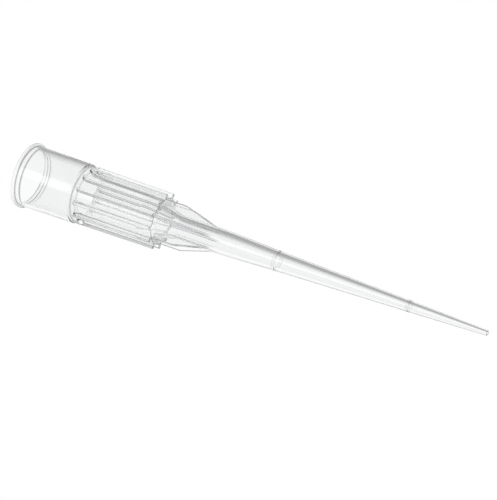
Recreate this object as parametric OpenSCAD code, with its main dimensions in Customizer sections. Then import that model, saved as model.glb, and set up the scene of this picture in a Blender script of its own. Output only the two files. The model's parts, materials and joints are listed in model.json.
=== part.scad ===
// Universal 200 microlitre pipette tip, moulded in one piece from clear
// polypropylene.  All sizes in millimetres.  The tip is drawn along +Z from its
// open mouth at zero, then laid down the way it comes to rest on a bench: on the
// flange round its mouth and on the corners of two neighbouring grip ribs.

/* [Mouth and collar] */
// Bore of the collar, which clears the pipette's nozzle
socket_id = 5.84; // [5.4:0.02:6.2]
// Wall of the smooth collar
collar_wall = 0.3; // [0.24:0.02:0.5]
// Distance from the mouth to the end of the smooth collar
collar_length = 6.6; // [4:0.1:9]
// How far the flange round the mouth stands out from the collar
lip_proud = 0.23; // [0.15:0.01:0.5]
// Thickness of the flange along the tip
lip_length = 0.36; // [0.32:0.01:0.8]
// Radius on the two outer edges of the flange
lip_round = 0.13; // [0.05:0.01:0.15]
// Depth of the lead-in chamfer inside the mouth
lead_depth = 0.34; // [0.2:0.02:0.5]
// How far the lead-in chamfer cuts into the wall
lead_width = 0.18; // [0.13:0.01:0.22]
// Distance from the mouth to the fine step inside the collar
step_depth = 0.85; // [0.6:0.05:2]
// Height of that fine step
step_height = 0.1; // [0.02:0.01:0.12]

/* [Seal and grip] */
// Bore of the land that seals on the nozzle
seal_id = 3.85; // [3.6:0.05:4.2]
// Wall round the seal, at the floor of the grooves between ribs
hub_wall = 0.55; // [0.45:0.01:0.6]
// Length of the sloping shoulder from the collar down to the groove floor
shoulder_length = 0.8; // [0.3:0.05:1.2]
// Length of the wider bore between the shoulder and the sealing land
entry_length = 1.55; // [1:0.05:3]
// How much wider the bore is there, on the diameter
entry_clearance = 0.34; // [0.1:0.02:0.5]
// Length of the cylindrical sealing land
seal_length = 5.2; // [3:0.1:5.6]
// Distance from the end of the collar to the square ends of the ribs
grip_length = 9.55; // [9:0.05:13]
// Number of grip ribs round the hub
rib_count = 12; // [6:6:18]
// Width of one grip rib
rib_width = 0.3; // [0.2:0.02:0.5]
// How far the tops of the ribs lie below the surface of the collar
rib_drop = 0.05; // [0.02:0.01:0.12]
// How much the collar and the ribs narrow, across, from the mouth to the ribs' ends
grip_draft = 0.32; // [0.1:0.02:0.5]

/* [Neck and fins] */
// Outside diameter of the neck where it leaves the hub
neck_od = 3.6; // [3:0.05:4]
// Length of the neck's cone down to the tube
neck_length = 1.95; // [1:0.05:3]
// Number of fins that brace the neck
fin_count = 6; // [3:1:8]
// Thickness of one fin
fin_thick = 0.28; // [0.2:0.02:0.5]
// How far the fins' edges lie below the groove floor
fin_drop = 0.03; // [0.02:0.01:0.1]
// Length of a fin's straight edge
fin_level = 2.35; // [1:0.05:3]
// Length over which a fin then slopes down to the tube
fin_slope = 3.9; // [2:0.1:5]

/* [Tube] */
// Bore of the straight tube below the neck
tube_id = 1.76; // [1.4:0.02:2]
// Wall of the straight tube
tube_wall = 0.39; // [0.3:0.01:0.5]
// Distance from the ribs' ends to the start of the long taper
tube_straight = 7.65; // [7:0.05:10]
// Outside diameter at the upper graduation ring
upper_ring_od = 2.06; // [1.8:0.02:2.3]
// Distance from the start of the taper to the upper graduation ring
upper_taper = 5.6; // [3:0.05:8]
// Wall at the upper graduation ring
upper_wall = 0.33; // [0.25:0.01:0.4]
// Outside diameter at the lower graduation ring
lower_ring_od = 1.15; // [1:0.01:1.4]
// Distance between the two graduation rings
middle_taper = 14.9; // [10:0.05:18]
// Wall at the lower graduation ring
lower_wall = 0.22; // [0.15:0.01:0.3]
// Outside diameter of the fine end
outlet_od = 0.54; // [0.5:0.02:0.8]
// Bore of the fine end
outlet_id = 0.3; // [0.2:0.02:0.4]
// Distance from the lower graduation ring to the fine end
end_taper = 8.7; // [5:0.1:12]
// Width of a graduation ring
ring_width = 0.3; // [0.2:0.02:0.5]
// How far a graduation ring stands out from the tube
ring_proud = 0.03; // [0.02:0.01:0.06]

/* [Hidden] */
$fn = 72;
cut = 0.01; // overlap that keeps joined and cut faces from coinciding
sunk = 0.1; // how deep the feet of the fins run into the tube's wall

// Places along the tip, from the mouth
hub_start = collar_length + shoulder_length;
grip_end = collar_length + grip_length;
land_start = hub_start + entry_length;
land_end = land_start + seal_length;
neck_end = grip_end + neck_length;
fin_kink = grip_end + fin_level;
fin_end = fin_kink + fin_slope;
taper_start = grip_end + tube_straight;
upper_ring = taper_start + upper_taper;
lower_ring = upper_ring + middle_taper;
tip_length = lower_ring + end_taper;

// Radii of the outside
collar_r = socket_id / 2 + collar_wall;
lip_r = collar_r + lip_proud;
rib_end_r = collar_r - rib_drop - grip_draft / 2;
hub_r = seal_id / 2 + hub_wall;
fin_r = hub_r - fin_drop;
tube_r = tube_id / 2 + tube_wall;
outlet_r = outlet_od / 2;

// Radius of the collar's surface, which is drafted like the tops of the ribs
function collar_surface(z) = collar_r - grip_draft / 2 * z / grip_end;

// Radii of the bore
socket_r = socket_id / 2;
land_r = seal_id / 2;
entry_r = land_r + entry_clearance / 2;

// Rest: the bench touches the flange's rear rounding, whose centre is given
// here, and two rib corners at the ribs' ends, where the tip sinks a little
// between two ribs.  With few ribs the end of the collar touches first.
round_z = lip_length - lip_round;
round_r = lip_r - lip_round;
rib_half_angle = asin(rib_width / 2 / rib_end_r);
rest_rib_r = rib_end_r * cos(180 / rib_count - rib_half_angle);

// Tilt at which the bench touches the rounding and a point at radius r, z along
function rest_angle(r, z) =
    atan2(round_r - r, z - round_z) + asin(lip_round / norm([round_r - r, z - round_z]));

rest_tilt = min(
    rest_angle(rest_rib_r, grip_end),
    rest_angle(collar_surface(collar_length), collar_length)
);
rest_height = round_r * cos(rest_tilt) + round_z * sin(rest_tilt) + lip_round;

// Ends of the resting tip along the bench, which centre it on the origin
rear_x = -round_r * sin(rest_tilt) - lip_round * (1 - cos(rest_tilt));
front_x = tip_length * cos(rest_tilt) + outlet_r * sin(rest_tilt);

// Outline of everything that is turned: collar, hub, neck and tube
module outer_profile() {
    polygon([
        [0, 0],
        [collar_r, 0],
        [collar_surface(collar_length), collar_length],
        [hub_r, hub_start],
        [hub_r, grip_end],
        [neck_od / 2, grip_end],
        [tube_r, neck_end],
        [tube_r, taper_start],
        [upper_ring_od / 2, upper_ring],
        [lower_ring_od / 2, lower_ring],
        [outlet_r, tip_length],
        [0, tip_length],
    ]);
}

// Section of the flange round the mouth, with both outer edges rounded
module lip_profile() {
    flat = lip_length - 2 * lip_round;
    translate([socket_r, 0])
        square([round_r - socket_r, lip_length]);
    translate([socket_r, lip_round])
        square([lip_r - socket_r, flat]);
    for (z = [lip_round, round_z])
        translate([round_r, z])
            circle(r = lip_round);
}

// Section of one raised graduation ring that straddles the place z
module ring_profile(radius, z) {
    translate([radius / 2, z - ring_width / 2])
        square([radius / 2 + ring_proud, ring_width]);
}

// Outline of the air inside: lead-in, socket, seal, funnel and tube bore
module bore_profile() {
    polygon([
        [0, -cut],
        [socket_r + lead_width, -cut],
        [socket_r + lead_width, 0],
        [socket_r + step_height, lead_depth],
        [socket_r + step_height, step_depth],
        [socket_r, step_depth],
        [socket_r, collar_length],
        [entry_r, hub_start],
        [entry_r, land_start],
        [land_r, land_start],
        [land_r, land_end],
        [tube_id / 2, neck_end],
        [tube_id / 2, taper_start],
        [upper_ring_od / 2 - upper_wall, upper_ring],
        [lower_ring_od / 2 - lower_wall, lower_ring],
        [outlet_id / 2, tip_length],
        [outlet_id / 2, tip_length + cut],
        [0, tip_length + cut],
    ]);
}

// Straight grip ribs, cut to a cone inside the collar's, with square ends
module grip_ribs() {
    intersection() {
        for (i = [0:rib_count - 1])
            rotate([0, 0, (i + 0.5) * 360 / rib_count])
                translate([0, -rib_width / 2, collar_length - cut])
                    cube([collar_r, rib_width, grip_length + cut]);
        cylinder(r1 = rib_end_r + grip_draft / 2, r2 = rib_end_r, h = grip_end);
    }
}

// Fins that brace the neck: straight at first, then sloping down into the tube
module neck_fins() {
    run = sunk * fin_slope / (fin_r - tube_r);
    for (i = [0:fin_count - 1])
        rotate([0, 0, i * 360 / fin_count + 180 / rib_count])
            rotate([90, 0, 0])
                translate([0, 0, -fin_thick / 2])
                    linear_extrude(height = fin_thick)
                        polygon([
                            [0, grip_end - cut],
                            [fin_r, grip_end - cut],
                            [fin_r, fin_kink],
                            [tube_r - sunk, fin_end + run],
                            [0, fin_end + run],
                        ]);
}

// The whole tip, standing on its mouth along +Z
module upright_tip() {
    difference() {
        union() {
            rotate_extrude() {
                outer_profile();
                lip_profile();
                ring_profile(upper_ring_od / 2, upper_ring);
                ring_profile(lower_ring_od / 2, lower_ring);
            }
            grip_ribs();
            neck_fins();
        }
        rotate_extrude()
            bore_profile();
    }
}

// The tip lying at rest, mouth towards -X, two ribs down
module pipette_tip() {
    color([0.93, 0.95, 0.96, 0.35])
        translate([-(rear_x + front_x) / 2, 0, rest_height])
            rotate([0, 90 + rest_tilt, 0])
                upright_tip();
}

pipette_tip();
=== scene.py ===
"""A clear pipette tip lying on a white bench: its surface and finish, the studio and the camera.

The tip is one moulding, so its whole surface is one closed sheet.  The sheet is a grid with two
parameters: rows run from the mouth down the outside to the fine end and back up the bore, and
columns run round the axis.  Lengths are in millimetres in the tip's own frame, whose origin is the
middle of the mouth and whose Z axis points at the fine end.
"""

import json
import logging
import math
from dataclasses import dataclass
from enum import Enum, IntEnum
from typing import Sequence

import bpy
import numpy as np
from mathutils import Matrix, Vector


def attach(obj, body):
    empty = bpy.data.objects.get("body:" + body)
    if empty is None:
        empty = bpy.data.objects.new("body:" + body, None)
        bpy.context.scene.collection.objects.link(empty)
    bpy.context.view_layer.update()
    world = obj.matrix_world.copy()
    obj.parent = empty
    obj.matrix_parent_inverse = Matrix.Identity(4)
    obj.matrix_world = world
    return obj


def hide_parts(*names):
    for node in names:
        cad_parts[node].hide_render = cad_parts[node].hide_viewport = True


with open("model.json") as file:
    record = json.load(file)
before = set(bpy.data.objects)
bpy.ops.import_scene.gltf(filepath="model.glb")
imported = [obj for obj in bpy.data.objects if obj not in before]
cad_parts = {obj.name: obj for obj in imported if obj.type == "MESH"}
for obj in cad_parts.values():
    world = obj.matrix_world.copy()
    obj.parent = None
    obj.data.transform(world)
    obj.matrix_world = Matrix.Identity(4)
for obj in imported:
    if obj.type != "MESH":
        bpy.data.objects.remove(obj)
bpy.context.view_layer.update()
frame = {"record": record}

log = logging.getLogger("pipette_tip")

MM = 0.001
NODE = "pipette_tip"
BODY = "root"
# Name of the mesh's mask of edges, which the plastic paints grey as shade and makes matt
EDGE_ATTRIBUTE = "edge"
TINY = 1e-12

# Surfaces that a ray of light may meet, in all and for clear and glossy ones
ALL_BOUNCES = 32
CLEAR_BOUNCES = 24
# Points round each ring, which the numbers of ribs and of fins both divide
COLUMNS = 480
# Most that one step of an arc turns, in radians
ARC_TURN = 0.55
# Half angle from which a corner is taken to be straight, in radians
STRAIGHT = 0.499 * math.pi
# Largest shares of a side that a rounding takes up, and that a rounding and its fade take up
ROUND_SHARE = 0.4
FADE_SHARE = 0.45


# ---------------------------------------------------------------- profiles and sections


class Channel(IntEnum):
    """What the columns of a profile's rows hold."""

    PLACE = 0
    RADIUS = 1
    EDGE = 2


@dataclass(frozen=True)
class Corner:
    """A corner of a turned profile.

    Attributes:
        z: Its place along the axis.
        r: Its radius.
        fillet: Its rounding.
        edge: How strongly the corner shows as an edge, from 0 to 1: painted grey as shade and
        made matt.
        fade: Length over which the edge fades on either side.
    """

    z: float
    r: float
    fillet: float = 0.0
    edge: float = 0.0
    fade: float = 0.12


def rounded_profile(corners: Sequence[Corner]) -> np.ndarray:
    """Replaces each corner of a profile by an arc that is tangent to both of its sides.

    The arc of fillet f at a corner with half angle a starts f / tan(a) before the corner.  Between
    its two ends the point is the blend (1-t)^2 start + 2t(1-t) corner + t^2 end, made round by
    giving the corner the weight sin(a).  The edge value is that of the corner over the arc and
    falls to nothing over its fade on either side.  A corner with no fillet stays sharp.

    Args:
        corners: The profile's corners in order.

    Returns:
        Rows of place, radius and edge value.
    """
    points = np.array([[c.z, c.r] for c in corners])
    rows = [np.array([*points[0], corners[0].edge])]
    for before, corner, after, data in zip(points, points[1:], points[2:], corners[1:]):
        into, out = before - corner, after - corner
        into_len, out_len = np.linalg.norm(into), np.linalg.norm(out)
        cosine = into @ out / max(into_len * out_len, TINY)
        half = 0.5 * math.acos(float(np.clip(cosine, -1, 1)))
        if data.fillet <= 0 or half > STRAIGHT:
            fade_in = corner + min(data.fade / into_len, FADE_SHARE) * into
            fade_out = corner + min(data.fade / out_len, FADE_SHARE) * out
            rows.extend([[*fade_in, 0.0], [*corner, data.edge], [*fade_out, 0.0]])
            continue
        into, out = into / into_len, out / out_len
        steps = math.ceil((math.pi - 2 * half) / ARC_TURN)
        reach = min(data.fillet / math.tan(half), ROUND_SHARE * into_len, ROUND_SHARE * out_len)
        t = np.linspace(0, 1, 2 * steps + 1)[:, None]
        a, b, c = (1 - t) ** 2, 2 * t * (1 - t) * math.sin(half), t**2
        start, end = corner + reach * into, corner + reach * out
        arc = (a * start + b * corner + c * end) / (a + b + c)
        arc = np.column_stack([arc, np.full(len(arc), data.edge)])
        if data.edge > 0:
            fade_in = corner + min(reach + data.fade, FADE_SHARE * into_len) * into
            fade_out = corner + min(reach + data.fade, FADE_SHARE * out_len) * out
            arc = np.vstack([[*fade_in, 0.0], arc, [*fade_out, 0.0]])
        rows.extend(arc)
    rows.append(np.array([*points[-1], corners[-1].edge]))
    return np.array(rows)


@dataclass(frozen=True)
class Section:
    """Outlines across the axis: one row for each section, one column for each point round it.

    Attributes:
        angle: The points' angles round the axis.
        radius: Their distances from it.
        edge: How strongly they show as an edge, from 0 to 1: painted grey as shade and made matt.
    """

    angle: np.ndarray
    radius: np.ndarray
    edge: np.ndarray


@dataclass(frozen=True)
class Spokes:
    """Ribs or fins that stand out from a turned body, with parallel sides and rounded edges.

    Attributes:
        count: Their number, evenly spaced.
        width: Width of each.
        phase: Where the middle of the first one stands round the axis, in degrees.
        round: Rounding of their outer edges.
        root: Rounding where their sides meet the body.
        edge: How strongly their tops show as edges, from 0 to 1: painted grey as shade and matt.
        least: Height below which they count as flush with the body.
        round_share: Largest share of half the width that the rounding of an outer edge takes up.
        fade: Height, in roundings of the outer edge, at which the edges show in full.
        steps: Steps of half a period along the top, round its edge, down the side and round the
            root; the floor takes the rest.
    """

    count: int
    width: float
    phase: float
    round: float
    root: float
    edge: float
    least: float = 1e-4
    round_share: float = 0.95
    fade: float = 4.0
    steps: tuple[int, int, int, int] = (3, 5, 2, 4)

    def outline(self, floor: np.ndarray, top: np.ndarray, inset: float = 0.0) -> Section:
        """Works out the outline across the axis, for several sections at once.

        Half a period runs from the middle of a spoke to the middle of the gap beside it: along the
        top at the radius top, round the edge, straight down the side at half the width, round the
        root and along the floor at the radius floor.  Both roundings are arcs tangent to what they
        join.  The other half is its mirror image, and the period is turned round count times.

        Args:
            floor: Radius between the spokes, one for each section.
            top: Radius of the spokes' tops, one for each section.
            inset: How far the outline is drawn in from the true one.

        Returns:
            The sections, each with COLUMNS points.
        """
        floor = np.atleast_1d(floor).astype(float)[:, None] - inset
        top = np.atleast_1d(top).astype(float)[:, None] - inset
        height = np.maximum(top - floor, self.least)
        top = floor + height
        half = self.width / 2 - inset
        rounding = np.minimum(self.round, ROUND_SHARE * height)
        rounding = np.minimum(rounding, self.round_share * half)
        root = np.minimum(self.root, ROUND_SHARE * height)
        half_period = COLUMNS // self.count // 2
        n_top, n_edge, n_side, n_root = self.steps
        n_floor = half_period - sum(self.steps)

        edge_x, root_x = half - rounding, half + root
        edge_y = np.sqrt((top - rounding) ** 2 - edge_x**2)
        root_y = np.sqrt((floor + root) ** 2 - root_x**2)
        edge_from = np.arctan2(edge_x, edge_y)
        root_to = np.arctan2(root_x, root_y)

        def span(start: np.ndarray, stop: np.ndarray, count: int) -> np.ndarray:
            """Evenly spaced values from start up to but not including stop."""
            return start + (stop - start) * np.arange(count) / count

        zero = np.zeros_like(floor)
        turn = span(zero, edge_from, n_top)
        xs, ys = [top * np.sin(turn)], [top * np.cos(turn)]
        turn = span(edge_from, zero + math.pi / 2, n_edge)
        xs.append(edge_x + rounding * np.sin(turn))
        ys.append(edge_y + rounding * np.cos(turn))
        xs.append(np.repeat(zero + half, n_side, axis=1))
        ys.append(span(edge_y, root_y, n_side))
        turn = span(zero - math.pi / 2, root_to - math.pi, n_root)
        xs.append(root_x + root * np.sin(turn))
        ys.append(root_y + root * np.cos(turn))
        turn = root_to + (math.pi / self.count - root_to) * np.arange(n_floor + 1) / n_floor
        xs.append(floor * np.sin(turn))
        ys.append(floor * np.cos(turn))

        x, y = np.concatenate(xs, axis=1), np.concatenate(ys, axis=1)
        angle, radius = np.arctan2(x, y), np.hypot(x, y)
        shown = np.where(np.arange(half_period + 1) < n_top + n_edge, self.edge, 0.0)
        angle = np.concatenate([angle, -angle[:, -2:0:-1]], axis=1)
        radius = np.concatenate([radius, radius[:, -2:0:-1]], axis=1)
        shown = np.concatenate([shown, shown[-2:0:-1]])
        angle[:, half_period + 1 :] += 2 * math.pi / self.count
        starts = math.radians(self.phase) + 2 * math.pi / self.count * np.arange(self.count)
        angles = np.concatenate([angle + start for start in starts], axis=1)
        edge = np.tile(shown, self.count) * np.clip(height / (self.fade * self.round), 0, 1)
        return Section(angles, np.tile(radius, (1, self.count)), edge)


class Wall:
    """Rings of the moulding's surface, gathered in order along it."""

    def __init__(self) -> None:
        """Starts with no rings."""
        self.points: list[np.ndarray] = []
        self.edges: list[np.ndarray] = []

    def add(self, z: np.ndarray, section: Section, edge: np.ndarray | float = 0.0) -> None:
        """Adds one ring for each section.

        Args:
            z: The sections' places along the axis.
            section: The outlines.
            edge: Further edge values, one for each section.
        """
        place = np.broadcast_to(np.asarray(z, float).reshape(-1, 1), section.radius.shape)
        angle = np.broadcast_to(section.angle, section.radius.shape)
        x, y = section.radius * np.cos(angle), section.radius * np.sin(angle)
        self.points.append(np.stack([x, y, place], axis=-1))
        along = np.broadcast_to(np.asarray(edge, float).reshape(-1, 1), section.radius.shape)
        self.edges.append(np.maximum(np.broadcast_to(section.edge, section.radius.shape), along))

    def add_turned(self, profile: np.ndarray, angle: np.ndarray) -> None:
        """Adds round rings for the rows of a profile.

        Args:
            profile: Rows of place, radius and edge value.
            angle: The columns' angles round the axis.
        """
        radius = np.repeat(profile[:, [Channel.RADIUS]], COLUMNS, axis=1)
        section = Section(angle, radius, np.zeros((1, COLUMNS)))
        self.add(profile[:, Channel.PLACE], section, profile[:, Channel.EDGE])

    def grid(self) -> tuple[np.ndarray, np.ndarray]:
        """All rings as arrays of rows and columns: the points and the edge values."""
        return np.concatenate(self.points), np.concatenate(self.edges)


# ---------------------------------------------------------------- the moulding's stretches


@dataclass(frozen=True)
class Collar:
    """The smooth collar with the flange round its mouth, and the socket inside it.

    Attributes:
        socket_r: Radius of the socket.
        wall: Wall round the socket.
        length: Distance from the mouth to the shoulder.
        flange_proud: How far the flange stands out from the collar.
        flange_length: Thickness of the flange along the axis.
        flange_round: Rounding of the flange's two outer edges.
        flange_root: Rounding where the flange meets the collar.
        lead_depth: Depth of the lead-in.
        lead_width: How much wider than the socket the lead-in is at the mouth.
        step_depth: Distance from the mouth to the fine step in the socket.
        step_height: Height of that step.
        rounding: Rounding of the lead-in's corners.
        step_round: Rounding of the step's corners.
        shoulder_round: Rounding where the collar meets the shoulder.
        rim_edge: Edge value of the flange's edge at the mouth.
        flange_edge: Edge value behind the flange.
        step_edge: Edge value of the fine step.
    """

    socket_r: float = 2.92
    wall: float = 0.3
    length: float = 6.6
    flange_proud: float = 0.228
    flange_length: float = 0.36
    flange_round: float = 0.13
    flange_root: float = 0.06
    lead_depth: float = 0.34
    lead_width: float = 0.18
    step_depth: float = 0.85
    step_height: float = 0.1
    rounding: float = 0.05
    step_round: float = 0.025
    shoulder_round: float = 0.12
    rim_edge: float = 0.3
    flange_edge: float = 1.0
    step_edge: float = 1.0

    @property
    def outer_r(self) -> float:
        """Radius of the collar in line with its mouth, under the flange."""
        return self.socket_r + self.wall

    @property
    def mouth_face(self) -> Corner:
        """Where the mouth's flat face starts, beside the rounding of the lead-in."""
        return Corner(0.0, self.socket_r + self.lead_width + self.rounding)

    def outside(self, wall: Wall, angle: np.ndarray, end: Corner) -> None:
        """Adds the mouth's face, the flange and the collar.

        Args:
            wall: The rings so far.
            angle: The columns' angles round the axis.
            end: Where the collar's last ring lies.
        """
        flange_r = self.outer_r + self.flange_proud
        wall.add_turned(
            rounded_profile(
                [
                    self.mouth_face,
                    Corner(0.0, flange_r, self.flange_round, self.rim_edge),
                    Corner(self.flange_length, flange_r, self.flange_round),
                    Corner(self.flange_length, self.outer_r, self.flange_root, self.flange_edge),
                    end,
                ]
            ),
            angle,
        )

    def bore(self) -> list[Corner]:
        """Works out the socket's fine step and lead-in, out to the mouth.

        Returns:
            The profile's corners.
        """
        wide = self.socket_r + self.step_height
        return [
            Corner(self.step_depth, self.socket_r, self.step_round, self.step_edge),
            Corner(self.step_depth, wide, self.step_round, self.step_edge),
            Corner(self.lead_depth, wide, self.rounding),
            Corner(0.0, self.socket_r + self.lead_width, self.rounding),
        ]


@dataclass(frozen=True)
class Grip:
    """The hub with its straight grip ribs, and the sealing land inside it.

    Attributes:
        length: Distance from the collar's end to the ribs' square ends.
        lead: Length of collar that is drawn with the shoulder.
        shoulder: Length of the slope from the collar down to the groove floor.
        seal_r: Radius of the sealing land.
        wall: Wall between the land and the groove floor.
        entry_length: Length of the wider bore between the shoulder and the land.
        entry_clearance: How much wider it is than the land.
        seal_length: Length of the land.
        draft: How much the collar and the ribs narrow from the mouth to the ribs' ends.
        rib_drop: How far the ribs' tops lie below the collar's surface.
        rib_start: Distance from the collar's end to where the ribs start to rise.
        rib_rise: Length over which they rise.
        rise_rings: Number of rings over that length.
        foot_round: Rounding where the shoulder meets the groove floor.
        end_round: Rounding of the ribs' square ends.
        end_rings: Number of rings over that rounding.
        land_round: Rounding of the step from the wider bore to the land.
        funnel_round: Rounding of the slope inside the shoulder.
        seal_round: Rounding where the land meets the funnel below it.
        shoulder_shade_line: Share of the shoulder's length and edge value of the line of painted
            shade high on it.
        foot_shade_line: Share of the shoulder's length and edge value of the line of painted shade
            low on it.
        shoulder_fade: Length over which those lines fade.
        end_edge: Edge value of the ribs' ends.
        end_fade: Length over which it fades on the end face.
        land_edge: Edge value of the step to the land.
        ribs: The grip ribs.
    """

    length: float = 9.55
    lead: float = 0.1
    shoulder: float = 0.8
    seal_r: float = 1.925
    wall: float = 0.55
    entry_length: float = 1.55
    entry_clearance: float = 0.17
    seal_length: float = 5.2
    draft: float = 0.16
    rib_drop: float = 0.05
    rib_start: float = 0.46
    rib_rise: float = 0.12
    rise_rings: int = 4
    foot_round: float = 0.2
    end_round: float = 0.05
    end_rings: int = 4
    land_round: float = 0.02
    funnel_round: float = 0.4
    seal_round: float = 0.3
    shoulder_shade_line: tuple[float, float] = (0.29, 1.0)
    foot_shade_line: tuple[float, float] = (0.8, 0.7)
    shoulder_fade: float = 0.2
    end_edge: float = 0.9
    end_fade: float = 0.12
    land_edge: float = 0.3
    ribs: Spokes = Spokes(12, 0.36, 255.0, round=0.17, root=0.14, edge=0.0)

    @property
    def hub_r(self) -> float:
        """Radius of the groove floor."""
        return self.seal_r + self.wall

    def surface_r(self, collar: Collar, z: np.ndarray | float) -> np.ndarray | float:
        """Radius of the collar's drafted surface at the place z."""
        return collar.outer_r - self.draft * z / (collar.length + self.length)

    def start(self, collar: Collar) -> Corner:
        """Where the collar's last ring lies, in front of the shoulder."""
        z = collar.length - self.lead
        return Corner(z, self.surface_r(collar, z))

    def on_shoulder(self, collar: Collar, share: float, edge: float) -> Corner:
        """A place on the sloping shoulder where a line of painted shade shows, with no edge there.

        Args:
            collar: The collar above it.
            share: How far down the shoulder it is, as a share of the shoulder's length.
            edge: The line's edge value.

        Returns:
            The place, as a straight corner of the profile.
        """
        top = self.surface_r(collar, collar.length)
        z, r = collar.length + share * self.shoulder, top + share * (self.hub_r - top)
        return Corner(z, r, 0.0, edge, self.shoulder_fade)

    def outside(self, wall: Wall, collar: Collar) -> None:
        """Adds the sloping shoulder, the ribs and the rounding of their square ends.

        The ribs' tops rise from the floor to the collar's surface, less the drop, in proportion
        to the place along their rise.  At their ends the whole outline moves in by the rounding
        times one minus the cosine of the turn, and along by the rounding times its sine.

        Args:
            wall: The rings so far.
            collar: The collar that the shoulder starts from.
        """
        start, end = collar.length, collar.length + self.length
        # The first row is the collar's last ring
        floor = rounded_profile(
            [
                self.start(collar),
                Corner(start, self.surface_r(collar, start), collar.shoulder_round),
                # Two lines of painted shade on the slope, where the surface has no edge
                self.on_shoulder(collar, *self.shoulder_shade_line),
                self.on_shoulder(collar, *self.foot_shade_line),
                Corner(start + self.shoulder, self.hub_r, self.foot_round),
                Corner(end - 2 * self.end_round, self.hub_r),
            ]
        )[1:]
        rise = start + self.rib_start + self.rib_rise * np.linspace(0, 1, self.rise_rings)
        z = np.unique(np.concatenate([floor[:, Channel.PLACE], rise]))
        floor_r = np.interp(z, floor[:, Channel.PLACE], floor[:, Channel.RADIUS])
        edge = np.interp(z, floor[:, Channel.PLACE], floor[:, Channel.EDGE])
        share = np.clip((z - rise[0]) / self.rib_rise, 0, 1)
        top = floor_r + share * (self.surface_r(collar, z) - self.rib_drop - floor_r)
        wall.add(z, self.ribs.outline(floor_r, top), edge)
        for turn in np.linspace(0, math.pi / 2, self.end_rings):
            z = end - self.end_round * (1 - math.sin(turn))
            inset = self.end_round * (1 - math.cos(turn))
            top = self.surface_r(collar, z) - self.rib_drop
            section = self.ribs.outline(self.hub_r, top, inset)
            wall.add(z, section, self.end_edge)
        wall.add_turned(np.array([[end, self.hub_r - self.end_fade, 0.0]]), section.angle)

    def bore(self, collar: Collar) -> list[Corner]:
        """Works out the sealing land, the wider bore above it and the slope, from below up.

        Args:
            collar: The collar, to whose socket the slope leads.

        Returns:
            The profile's corners.
        """
        entry = self.seal_r + self.entry_clearance
        hub_start = collar.length + self.shoulder
        land_start = hub_start + self.entry_length
        return [
            Corner(land_start + self.seal_length, self.seal_r, self.seal_round),
            Corner(land_start, self.seal_r, self.land_round, self.land_edge),
            Corner(land_start, entry, self.land_round, self.land_edge),
            Corner(hub_start, entry, self.funnel_round),
            Corner(collar.length, collar.socket_r, self.funnel_round),
        ]


@dataclass(frozen=True)
class Neck:
    """The cone below the hub and the fins that brace it.

    Attributes:
        start_r: Radius of the cone where it leaves the hub.
        length: Length of the cone.
        start_round: Rounding where the cone meets the hub's end face.
        end_round: Rounding where the cone and the funnel inside it meet the tube.
        face: How far out on the hub's end face the profile starts.
        fin_level: Length of the fins' straight edges.
        fin_slope: Length over which they then slope down to the tube.
        fin_drop: How far their edges lie below the groove floor.
        kink_round: Distance of the rings on either side of the kink in a fin's edge.
        slope_lead: Distance from the kink to the slope's first ring.
        slope_rings: Number of rings on the slope.
        fins: The fins.
    """

    start_r: float = 1.8
    length: float = 1.95
    start_round: float = 0.08
    end_round: float = 0.8
    face: float = 0.3
    fin_level: float = 2.35
    fin_slope: float = 3.9
    fin_drop: float = 0.03
    kink_round: float = 0.05
    slope_lead: float = 0.4
    slope_rings: int = 5
    fins: Spokes = Spokes(6, 0.28, 255.0, round=0.06, root=0.08, edge=0.7)

    def end(self, start: float) -> float:
        """Where the fins run out on the tube."""
        return start + self.fin_level + self.fin_slope

    def outside(self, wall: Wall, start: float, hub_r: float, tube_r: float) -> np.ndarray:
        """Adds the cone and the fins.

        The fins' edges keep one radius to the kink and then fall in a straight line to the tube.

        Args:
            wall: The rings so far.
            start: Where the hub ends.
            hub_r: Radius of the groove floor.
            tube_r: Radius of the straight tube.

        Returns:
            The columns' angles round the axis where the fins run out.
        """
        kink, end = start + self.fin_level, self.end(start)
        # The first two rows lie in the hub's end face, and the last one lies past the fins
        floor = rounded_profile(
            [
                Corner(start, self.start_r + self.face),
                Corner(start, self.start_r, self.start_round),
                Corner(start + self.length, tube_r, self.end_round),
                Corner(end + self.slope_lead, tube_r),
            ]
        )[2:-1]
        bend = kink + self.kink_round * np.array([-1, 0, 1])
        slope = np.linspace(kink + self.slope_lead, end, self.slope_rings)
        z = np.sort(np.concatenate([floor[:, Channel.PLACE], bend, slope]))
        floor_r = np.interp(z, floor[:, Channel.PLACE], floor[:, Channel.RADIUS])
        fin_r = hub_r - self.fin_drop
        top_r = np.maximum(np.interp(z, [start, kink, end], [fin_r, fin_r, tube_r]), floor_r)
        section = self.fins.outline(floor_r, top_r)
        wall.add(z, section)
        return section.angle[-1]


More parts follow.
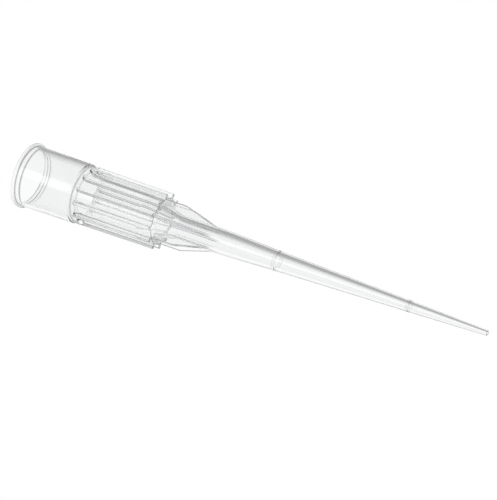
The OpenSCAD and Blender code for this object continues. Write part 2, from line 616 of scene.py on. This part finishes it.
@dataclass(frozen=True)
class Tube:
    """The straight tube, the long taper with its two graduation rings, and the fine end.

    Attributes:
        bore_r: Radius of the straight tube's bore.
        wall: Wall of the straight tube.
        straight: Distance from the hub's end to the start of the taper.
        upper_r: Radius at the upper ring.
        upper_taper: Distance from the start of the taper to the upper ring.
        upper_wall: Wall at the upper ring.
        lower_r: Radius at the lower ring.
        middle_taper: Distance between the two rings.
        lower_wall: Wall at the lower ring.
        outlet_r: Radius of the fine end.
        outlet_bore_r: Radius of its bore.
        outlet_round: Rounding of its outer edge.
        outlet_face: Distance from its bore to the outside's last ring, on its face.
        outlet_lead: Rounding of its bore's edge.
        end_taper: Distance from the lower ring to the fine end.
        ring_width: Width of a ring.
        ring_proud: How far a ring stands out.
        ring_soft: Length and rounding of a ring's sides.
        ring_edge: Edge value of a ring.
        bend_round: Rounding where the taper starts, outside.
        bore_bend_round: The same, inside.
        bore_ring_round: Rounding of the bore at the rings.
    """

    bore_r: float = 0.88
    wall: float = 0.39
    straight: float = 7.65
    upper_r: float = 1.03
    upper_taper: float = 5.6
    upper_wall: float = 0.33
    lower_r: float = 0.575
    middle_taper: float = 14.9
    lower_wall: float = 0.22
    outlet_r: float = 0.27
    outlet_bore_r: float = 0.15
    outlet_round: float = 0.05
    outlet_face: float = 0.03
    outlet_lead: float = 0.02
    end_taper: float = 8.7
    ring_width: float = 0.3
    ring_proud: float = 0.03
    ring_soft: float = 0.03
    ring_edge: float = 0.5
    bend_round: float = 40.0
    bore_bend_round: float = 20.0
    bore_ring_round: float = 5.0

    @property
    def outer_r(self) -> float:
        """Radius of the straight tube."""
        return self.bore_r + self.wall

    def places(self, start: float) -> tuple[float, float, float, float]:
        """Adds up the places along the tube.

        Args:
            start: Where the hub ends.

        Returns:
            The start of the taper, the upper ring, the lower ring and the fine end.
        """
        taper = start + self.straight
        upper = taper + self.upper_taper
        lower = upper + self.middle_taper
        return taper, upper, lower, lower + self.end_taper

    def ring(self, z: float, r: float) -> list[Corner]:
        """Works out a raised band with soft edges.

        Args:
            z: The place of its middle.
            r: Radius of the tube there.

        Returns:
            The profile's corners.
        """
        half, soft = self.ring_width / 2, self.ring_soft
        return [
            Corner(z - half - soft, r, soft),
            Corner(z - half, r + self.ring_proud, soft, self.ring_edge),
            Corner(z + half, r + self.ring_proud, soft, self.ring_edge),
            Corner(z + half + soft, r, soft),
        ]

    def outside(self, wall: Wall, start: float, fin_end: float, angle: np.ndarray) -> None:
        """Adds the tube from the fins' ends to the rounding of the fine end.

        Args:
            wall: The rings so far.
            start: Where the hub ends.
            fin_end: Where the fins run out.
            angle: The columns' angles round the axis.
        """
        taper, upper, lower, end = self.places(start)
        # The first row is the fins' last ring
        wall.add_turned(
            rounded_profile(
                [
                    Corner(fin_end, self.outer_r),
                    Corner(taper, self.outer_r, self.bend_round),
                    *self.ring(upper, self.upper_r),
                    *self.ring(lower, self.lower_r),
                    Corner(end, self.outlet_r, self.outlet_round),
                    Corner(end, self.outlet_bore_r + self.outlet_face),
                ]
            )[1:],
            angle,
        )

    def bore(self, start: float) -> list[Corner]:
        """Works out the bore from the fine end up to the funnel inside the neck.

        Args:
            start: Where the hub ends.

        Returns:
            The profile's corners.
        """
        taper, upper, lower, end = self.places(start)
        return [
            Corner(end, self.outlet_bore_r + self.outlet_lead),
            Corner(end, self.outlet_bore_r, self.outlet_lead),
            Corner(lower, self.lower_r - self.lower_wall, self.bore_ring_round),
            Corner(upper, self.upper_r - self.upper_wall, self.bore_ring_round),
            Corner(taper, self.bore_r, self.bore_bend_round),
        ]


# ---------------------------------------------------------------- finishes


class Ray(Enum):
    """Kinds of light ray that a finish can answer in its own way."""

    CAMERA = "Is Camera Ray"
    GLOSSY = "Is Glossy Ray"
    TRANSMISSION = "Is Transmission Ray"
    SHADOW = "Is Shadow Ray"


def bare_material(name: str) -> bpy.types.Material:
    """Makes a material with no nodes in it.

    Args:
        name: Its name.

    Returns:
        The material.
    """
    mat = bpy.data.materials.new(name)
    mat.use_nodes = True
    mat.node_tree.nodes.clear()
    return mat


def any_ray(tree: bpy.types.NodeTree, kinds: Sequence[Ray]) -> bpy.types.NodeSocket:
    """Adds the test whether a ray is of one of the given kinds.

    Args:
        tree: The material's nodes.
        kinds: The kinds of ray, of which the greatest value is taken.

    Returns:
        A value that is 1 for those rays and 0 for all others.
    """
    path = tree.nodes.new("ShaderNodeLightPath")
    found = path.outputs[kinds[0].value]
    for kind in kinds[1:]:
        either = tree.nodes.new("ShaderNodeMath")
        either.operation = "MAXIMUM"
        tree.links.new(found, either.inputs[0])
        tree.links.new(path.outputs[kind.value], either.inputs[1])
        found = either.outputs[0]
    return found


@dataclass(frozen=True)
class ClearPlastic:
    """Clear moulded polypropylene.

    It bends light, its surface is a touch uneven, and its edges and corners are a little matt and
    painted grey: the grey is painted shade that stands in for the light lost at them.

    Attributes:
        tint: Its colour on plain surfaces.
        painted_edge_shade: Its colour at a full edge, a grey of painted shade.
        ior: Its refractive index.
        roughness: Its roughness on plain surfaces.
        edge_roughness: Its roughness at a full edge.
        uneven_scale: Unevennesses per metre.
        uneven_detail: How many finer layers the unevenness has.
        uneven_height: Height of the unevenness, in metres.
        shade_and_matt_spread: Factors on the edge values, and so on the painted shade and the matt,
        where the surface lies lowest and highest.
        lit_through: Share of the lamp's light that reaches the bench through each surface.
    """

    tint: tuple[float, float, float] = (0.96, 0.964, 0.966)
    painted_edge_shade: tuple[float, float, float] = (0.25, 0.26, 0.27)
    ior: float = 1.49
    roughness: float = 0.008
    edge_roughness: float = 0.2
    uneven_scale: float = 900.0
    uneven_detail: float = 2.0
    uneven_height: float = 0.000003
    shade_and_matt_spread: tuple[float, float] = (0.75, 1.15)
    lit_through: float = 0.97

    def material(self) -> bpy.types.Material:
        """Builds the material.

        The edge value times the spread mixes the plain tint with the painted grey shade, and the
        two roughnesses.  The unevenness is noise that moves the normal and varies the spread.
        Light from the lamp goes straight through to the bench.

        Returns:
            The material.
        """
        mat = bare_material("clear_polypropylene")
        tree = mat.node_tree
        nodes, links = tree.nodes, tree.links

        where = nodes.new("ShaderNodeTexCoord")
        uneven = nodes.new("ShaderNodeTexNoise")
        uneven.inputs["Scale"].default_value = self.uneven_scale
        uneven.inputs["Detail"].default_value = self.uneven_detail
        links.new(where.outputs["Object"], uneven.inputs["Vector"])

        edge = nodes.new("ShaderNodeAttribute")
        edge.attribute_type = "GEOMETRY"
        edge.attribute_name = EDGE_ATTRIBUTE
        shade_and_matt_spread = nodes.new("ShaderNodeMapRange")
        shade_and_matt_spread.inputs["To Min"].default_value = self.shade_and_matt_spread[0]
        shade_and_matt_spread.inputs["To Max"].default_value = self.shade_and_matt_spread[1]
        links.new(uneven.outputs["Fac"], shade_and_matt_spread.inputs["Value"])
        shown = nodes.new("ShaderNodeMath")
        shown.operation = "MULTIPLY"
        shown.use_clamp = True
        links.new(edge.outputs["Fac"], shown.inputs[0])
        links.new(shade_and_matt_spread.outputs["Result"], shown.inputs[1])

        # Painted shade: the edge values turn the plain tint grey
        colour = nodes.new("ShaderNodeMix")
        colour.data_type = "RGBA"
        colour.inputs["A"].default_value = (*self.tint, 1.0)
        colour.inputs["B"].default_value = (*self.painted_edge_shade, 1.0)
        links.new(shown.outputs[0], colour.inputs["Factor"])
        gloss = nodes.new("ShaderNodeMapRange")
        gloss.inputs["To Min"].default_value = self.roughness
        gloss.inputs["To Max"].default_value = self.edge_roughness
        links.new(shown.outputs[0], gloss.inputs["Value"])
        bump = nodes.new("ShaderNodeBump")
        bump.inputs["Distance"].default_value = self.uneven_height
        links.new(uneven.outputs["Fac"], bump.inputs["Height"])

        plastic = nodes.new("ShaderNodeBsdfPrincipled")
        plastic.inputs["IOR"].default_value = self.ior
        plastic.inputs["Transmission Weight"].default_value = 1.0
        links.new(colour.outputs["Result"], plastic.inputs["Base Color"])
        links.new(gloss.outputs["Result"], plastic.inputs["Roughness"])
        links.new(bump.outputs["Normal"], plastic.inputs["Normal"])

        lit = nodes.new("ShaderNodeBsdfTransparent")
        lit.inputs["Color"].default_value = (*[self.lit_through] * 3, 1.0)
        mix = nodes.new("ShaderNodeMixShader")
        out = nodes.new("ShaderNodeOutputMaterial")
        links.new(any_ray(tree, [Ray.SHADOW]), mix.inputs[0])
        links.new(plastic.outputs[0], mix.inputs[1])
        links.new(lit.outputs[0], mix.inputs[2])
        links.new(mix.outputs[0], out.inputs["Surface"])
        return mat


@dataclass(frozen=True)
class BenchWhite:
    """The white bench: plain white to the eye and in reflections, and it takes a soft shadow.

    Attributes:
        shade: Brightness of its matt surface.
        glow: Share of plain white that the eye and reflections see in place of that surface.
    """

    shade: float = 0.9
    glow: float = 0.995

    def material(self) -> bpy.types.Material:
        """Builds the material.

        It is a matt surface that the eye, reflections and clear things see as even white.

        Returns:
            The material.
        """
        mat = bare_material("bench_white")
        tree = mat.node_tree
        nodes, links = tree.nodes, tree.links
        out = nodes.new("ShaderNodeOutputMaterial")
        matt = nodes.new("ShaderNodeBsdfDiffuse")
        matt.inputs["Color"].default_value = (*[self.shade] * 3, 1.0)
        white = nodes.new("ShaderNodeEmission")
        white.inputs["Strength"].default_value = 1.0
        scale = nodes.new("ShaderNodeMath")
        scale.operation = "MULTIPLY"
        scale.inputs[1].default_value = self.glow
        mix = nodes.new("ShaderNodeMixShader")
        links.new(any_ray(tree, [Ray.CAMERA, Ray.GLOSSY, Ray.TRANSMISSION]), scale.inputs[0])
        links.new(scale.outputs[0], mix.inputs[0])
        links.new(matt.outputs[0], mix.inputs[1])
        links.new(white.outputs[0], mix.inputs[2])
        links.new(mix.outputs[0], out.inputs["Surface"])
        return mat


# ---------------------------------------------------------------- the tip


@dataclass(frozen=True)
class Rest:
    """Where the tip lies.

    Attributes:
        mouth: The middle of its mouth, in millimetres in the row frame.
        axes: The directions of its own three axes, one in each row.
    """

    mouth: np.ndarray
    axes: np.ndarray

    @classmethod
    def from_record(cls, record: dict, step_depth: float) -> "Rest":
        """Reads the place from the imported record's socket mount.

        The socket's wall starts at the fine step, and its axis points out of the mouth, so the
        mouth lies half the wall's length and the step's depth out from the wall's middle.

        Args:
            record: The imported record.
            step_depth: Distance from the mouth to the fine step.

        Returns:
            The resting place.
        """
        mount = next(m for m in record["mounts"] if m["name"] == "collar_socket")
        out = np.array(mount["axis"], float)
        out /= np.linalg.norm(out)
        mouth = np.array(mount["pos_m"]) / MM + out * (mount["dims"]["length_mm"] / 2 + step_depth)
        along = -out
        across = np.array([0.0, 1.0, 0.0])
        return cls(mouth, np.stack([np.cross(across, along), across, along]))

    def place(self, points: np.ndarray) -> np.ndarray:
        """Turns points in the tip's frame, in millimetres, into the row frame, in metres."""
        return (self.mouth + points @ self.axes) * MM


@dataclass(frozen=True)
class PipetteTip:
    """The whole moulding.

    Attributes:
        collar: Its collar and socket.
        grip: Its hub, ribs and sealing land.
        neck: Its cone and fins.
        tube: Its tube, taper and fine end.
        finish: Its plastic.
    """

    collar: Collar = Collar()
    grip: Grip = Grip()
    neck: Neck = Neck()
    tube: Tube = Tube()
    finish: ClearPlastic = ClearPlastic()

    def surface(self) -> tuple[np.ndarray, np.ndarray]:
        """The closed sheet as rows of rings, outside first and then the bore.

        The outside runs mouth, flange, collar, shoulder, ribs, neck with fins, tube, fine end.  The
        bore runs back from the fine end through the funnel, the land and the socket.

        Returns:
            The points and the edge values.
        """
        collar, grip, neck, tube = self.collar, self.grip, self.neck, self.tube
        hub_end = collar.length + grip.length
        wall = Wall()
        start = grip.start(collar)
        columns = grip.ribs.outline(start.r, start.r).angle[0]
        collar.outside(wall, columns, start)
        grip.outside(wall, collar)
        columns = neck.outside(wall, hub_end, grip.hub_r, tube.outer_r)
        tube.outside(wall, hub_end, neck.end(hub_end), columns)
        # The first and last rows lie in the faces that the outside ends and starts with
        bore = rounded_profile(
            [
                *tube.bore(hub_end),
                Corner(hub_end + neck.length, tube.bore_r, neck.end_round),
                *grip.bore(collar),
                *collar.bore(),
                collar.mouth_face,
            ]
        )[1:-1]
        even = math.radians(grip.ribs.phase) + 2 * math.pi * np.arange(COLUMNS) / COLUMNS
        wall.add_turned(bore, even)
        return wall.grid()

    def build(self, rest: Rest) -> bpy.types.Object:
        """Makes the mesh and dresses it.

        Each face spans two neighbouring rings and columns, and the last of each joins the first.
        A face's normal is the cross product of its diagonals, a vertex's normal is the sum of
        those of its faces, and the faces are turned so that the solid's volume is positive.

        Args:
            rest: Where the tip lies.

        Returns:
            The finished piece.
        """
        grid, edge = self.surface()
        rows, columns = grid.shape[:2]
        points = rest.place(grid.reshape(-1, 3))
        index = np.arange(rows * columns).reshape(rows, columns)
        down, along = np.roll(index, -1, axis=0), np.roll(index, -1, axis=1)
        faces = np.stack([index, along, np.roll(down, -1, axis=1), down], axis=-1).reshape(-1, 4)
        across_a = points[faces[:, 2]] - points[faces[:, 0]]
        across_b = points[faces[:, 3]] - points[faces[:, 1]]
        face_normal = np.cross(across_a, across_b)
        if np.einsum("ij,ij->", points[faces[:, 0]], face_normal) < 0:
            faces, face_normal = faces[:, ::-1], -face_normal
        normal = np.zeros_like(points)
        for corner in range(4):
            np.add.at(normal, faces[:, corner], face_normal)
        normal /= np.linalg.norm(normal, axis=1, keepdims=True)

        mesh = bpy.data.meshes.new("clear_tip")
        mesh.from_pydata(points.tolist(), [], faces.tolist())
        mesh.polygons.foreach_set("use_smooth", np.ones(len(faces), bool))
        marks = mesh.attributes.new(EDGE_ATTRIBUTE, "FLOAT", "POINT")
        marks.data.foreach_set("value", edge.ravel())
        mesh.update()
        mesh.normals_split_custom_set_from_vertices(normal.tolist())
        piece = bpy.data.objects.new("clear_tip", mesh)
        bpy.context.scene.collection.objects.link(piece)
        mesh.materials.append(self.finish.material())
        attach(piece, BODY)
        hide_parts(NODE)
        log.info("clear_tip: %d faces on %d rings", len(faces), rows)
        return piece


# ---------------------------------------------------------------- studio and camera


@dataclass(frozen=True)
class Lamp:
    """A large soft lamp behind the camera and to its left, about as bright as the white bench.

    Attributes:
        place: Its place, in metres.
        size: Length of its sides, in metres.
        level: Its brightness, where 1 is white.
    """

    place: tuple[float, float, float] = (-0.4, -0.85, 0.15)
    size: float = 0.6
    level: float = 1.05

    def build(self) -> None:
        """Makes the lamp, facing the tip; its power is its level times pi times its area."""
        lamp = bpy.data.lights.new("lamp", "AREA")
        lamp.size = self.size
        lamp.energy = self.level * math.pi * self.size**2
        obj = bpy.data.objects.new("lamp", lamp)
        obj.location = self.place
        obj.rotation_euler = Vector(self.place).to_track_quat("Z", "Y").to_euler()
        obj.visible_camera = False
        bpy.context.scene.collection.objects.link(obj)


@dataclass(frozen=True)
class Studio:
    """The bench, a room that is white low down and dark above, and the lamp.

    Attributes:
        bench_size: Length of the bench's sides, in metres.
        room: Brightness of the room above, where 1 is white.
        sweep_top: Sine of the height above the horizon at which the white has half faded.
        sweep_soft: How far below and above that the fade reaches.
        bench: Finish of the bench.
        lamp: The lamp.
    """

    bench_size: float = 3.0
    room: float = 0.4
    sweep_top: float = 0.1
    sweep_soft: float = 0.2
    bench: BenchWhite = BenchWhite()
    lamp: Lamp = Lamp()

    def build(self) -> None:
        """Makes the bench, the world and the lamp."""
        half = self.bench_size / 2
        corners = [(-half, -half, 0), (half, -half, 0), (half, half, 0), (-half, half, 0)]
        mesh = bpy.data.meshes.new("bench")
        mesh.from_pydata(corners, [], [(0, 1, 2, 3)])
        bench = bpy.data.objects.new("bench", mesh)
        bpy.context.scene.collection.objects.link(bench)
        mesh.materials.append(self.bench.material())
        self.build_world()
        self.lamp.build()

    def build_world(self) -> None:
        """Makes the room's light: white near the horizon and below, fading to dark above."""
        world = bpy.data.worlds.new("room")
        bpy.context.scene.world = world
        world.use_nodes = True
        tree = world.node_tree
        back = tree.nodes["Background"]
        where = tree.nodes.new("ShaderNodeTexCoord")
        split = tree.nodes.new("ShaderNodeSeparateXYZ")
        fade = tree.nodes.new("ShaderNodeMapRange")
        fade.interpolation_type = "SMOOTHSTEP"
        fade.inputs["From Min"].default_value = self.sweep_top - self.sweep_soft
        fade.inputs["From Max"].default_value = self.sweep_top + self.sweep_soft
        fade.inputs["To Min"].default_value = 1.0
        fade.inputs["To Max"].default_value = self.room
        tree.links.new(where.outputs["Generated"], split.inputs[0])
        tree.links.new(split.outputs["Z"], fade.inputs["Value"])
        tree.links.new(fade.outputs["Result"], back.inputs["Color"])


@dataclass(frozen=True)
class Viewpoint:
    """The camera: low in front of the lying tip, a little towards its fine end.

    Attributes:
        aim_from_mouth: Distance from the mouth to the place on the axis that it is aimed at.
        distance: Its distance from there.
        field_height: Height of the field of view there.
        turn: Its turn from straight across the axis towards the fine end, in degrees.
        lean: Its lean from the vertical to the front, in degrees.
        fall: How steeply the axis falls to the right in the view, in degrees.
        rise: How far above the axis the middle of the view lies.
        near: Distance from which it sees.
    """

    aim_from_mouth: float = 26.06
    distance: float = 430.0
    field_height: float = 50.0
    turn: float = 23.8
    lean: float = 81.0
    fall: float = 19.0
    rise: float = 0.08
    near: float = 10.0

    def build(self, rest: Rest) -> None:
        """Places the camera.

        Its direction from the aim makes the angle turn with the plane across the axis, towards
        the fine end, and leans from the vertical to the front.  It is rolled so that the axis
        falls to the right by the angle fall.

        Args:
            rest: Where the tip lies.
        """
        along = Vector(rest.axes[2])
        up = -Vector(rest.axes[0])
        side = Vector(rest.axes[1])
        turn, lean, fall = (math.radians(a) for a in (self.turn, self.lean, self.fall))
        across = math.cos(lean) * up - math.sin(lean) * side
        toward = math.sin(turn) * along + math.cos(turn) * across
        level = (along - along.dot(toward) * toward).normalized()
        steep = toward.cross(level)
        right = math.cos(fall) * level + math.sin(fall) * steep
        upward = toward.cross(right)
        aim = Vector(rest.place(np.array([0.0, 0.0, self.aim_from_mouth])))
        aim += upward * self.rise * MM
        data = bpy.data.cameras.new("camera")
        data.lens = data.sensor_width * self.distance / self.field_height
        data.clip_start = self.near * MM
        camera = bpy.data.objects.new("camera", data)
        turned = Matrix((right, upward, toward)).transposed().to_4x4()
        camera.matrix_world = Matrix.Translation(aim + toward * self.distance * MM) @ turned
        bpy.context.scene.collection.objects.link(camera)
        bpy.context.scene.camera = camera


def main() -> None:
    """Builds the tip, the studio and the camera."""
    logging.basicConfig(level=logging.INFO, format="%(message)s")
    tip = PipetteTip()
    rest = Rest.from_record(frame["record"], tip.collar.step_depth)
    tip.build(rest)
    Studio().build()
    Viewpoint().build(rest)
    scene = bpy.context.scene
    scene.view_settings.view_transform = "Standard"
    scene.cycles.max_bounces = ALL_BOUNCES
    scene.cycles.glossy_bounces = CLEAR_BOUNCES
    scene.cycles.transmission_bounces = CLEAR_BOUNCES


if __name__ == "__main__":
    main()
